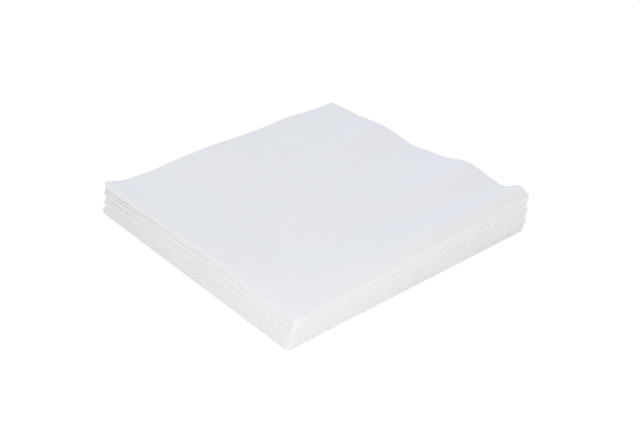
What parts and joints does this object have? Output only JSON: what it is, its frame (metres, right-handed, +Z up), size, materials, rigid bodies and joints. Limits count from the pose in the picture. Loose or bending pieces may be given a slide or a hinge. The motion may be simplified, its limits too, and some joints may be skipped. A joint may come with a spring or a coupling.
{
  "type": "stack of paper napkins",
  "caption": "Stack of folded square paper napkins lying flat, with soft wavy layers, folded edges meeting at one corner and loose edges at the opposite one.",
  "frame": {"origin": "middle of the stack's footprint, on the surface that it rests on", "axes": "+Z up; the napkins' second folds run along X at -Y and their first folds along Y at -X, so the closed corner is at -X -Y"},
  "size_m": [0.169, 0.1682, 0.0245],
  "materials": {
    "white_tissue": "soft white tissue, matt, with a fine embossed grain"
  },
  "bodies": {
    "root": {"napkin_01": "white_tissue", "napkin_02": "white_tissue", "napkin_03": "white_tissue", "napkin_04": "white_tissue", "napkin_05": "white_tissue", "napkin_06": "white_tissue", "napkin_07": "white_tissue", "napkin_08": "white_tissue", "napkin_09": "white_tissue", "napkin_10": "white_tissue"}
  },
  "joints": []
}
